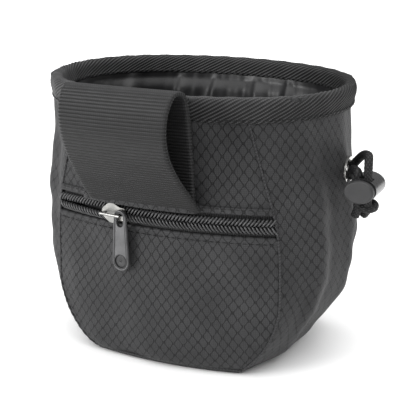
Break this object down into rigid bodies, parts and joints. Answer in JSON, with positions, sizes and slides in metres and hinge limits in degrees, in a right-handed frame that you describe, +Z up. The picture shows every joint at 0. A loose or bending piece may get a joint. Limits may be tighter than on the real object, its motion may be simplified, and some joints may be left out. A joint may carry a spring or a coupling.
{
  "type": "treat pouch",
  "caption": "Open-top cloth treat pouch with a wide belt loop, a curved front zip pocket and a drawcord with a cord lock.",
  "frame": {"origin": "middle of the flat base, on the surface the pouch stands on", "axes": "+Z up through the open mouth, -Y towards the front with the belt loop and the zip, +X to the side with the cord lock (the viewer's right when looking at the front)"},
  "size_m": [0.1456, 0.1143, 0.1171],
  "materials": {
    "outer_cloth": "polyester ripstop with a raised diamond grid, matt",
    "binding_tape": "ribbed twill tape",
    "stiffener": "extruded polyethylene strip",
    "lining_nylon": "thin coated nylon taffeta, slightly shiny",
    "zip_tape": "woven polyester zip tape",
    "zip_coil": "nylon monofilament coil",
    "slider_metal": "nickel-plated zinc",
    "pull_tab_metal": "lacquered zinc, satin",
    "webbing": "ribbed polypropylene webbing",
    "eyelet_metal": "nickel-plated brass",
    "cord": "braided polyester cord",
    "lock_plastic": "moulded acetal, glossy",
    "lock_button": "moulded acetal, fine matt texture",
    "spring_steel": "drawn spring wire"
  },
  "bodies": {
    "pouch": {"front_upper_panel": "outer_cloth", "front_lower_panel": "outer_cloth", "back_panel": "outer_cloth", "gusset": "outer_cloth", "rim_binding": "binding_tape", "rim_hoop": "stiffener", "inner_lining": "lining_nylon", "zip_pocket_bag": "lining_nylon", "drawcord_channel": "lining_nylon", "zip_tape_upper": "zip_tape", "zip_tape_lower": "zip_tape", "zip_coil_upper": "zip_coil", "zip_coil_lower": "zip_coil", "belt_loop": "webbing", "eyelet": "eyelet_metal", "eyelet_washer": "eyelet_metal", "drawcord_in_channel": "cord"},
    "slider": {"slider_body": "slider_metal", "slider_bridge": "slider_metal"},
    "tab": {"pull_tab": "pull_tab_metal"},
    "cord_end": {"drawcord_strand_upper": "cord", "drawcord_strand_lower": "cord", "cord_knot": "cord", "cord_lock_body": "lock_plastic", "cord_lock_spring": "spring_steel"},
    "lock_button": {"cord_lock_button": "lock_button"}
  },
  "joints": [
    {"name": "zip_travel", "type": "hinge", "parent": "pouch", "child": "slider", "pos_m": [0, 0.0985, 0.064], "axis": [0, 0, 1], "range_deg": [-9, 23]},
    {"name": "tab_swing", "type": "hinge", "parent": "slider", "child": "tab", "pos_m": [-0.01338, -0.04293, 0.064], "axis": [-0.1236, -0.9923, 0], "range_deg": [-60, 85]},
    {"name": "cord_end_swing", "type": "hinge", "parent": "pouch", "child": "cord_end", "pos_m": [0.0645, 0.002, 0.079], "axis": [0, 0, 1], "range_deg": [0, 30]},
    {"name": "lock_press", "type": "slide", "parent": "cord_end", "child": "lock_button", "axis": [0, 1, 0], "range_m": [0, 0.0015], "stiffness_N_per_m": 800, "deforming": ["cord_lock_spring"]}
  ]
}
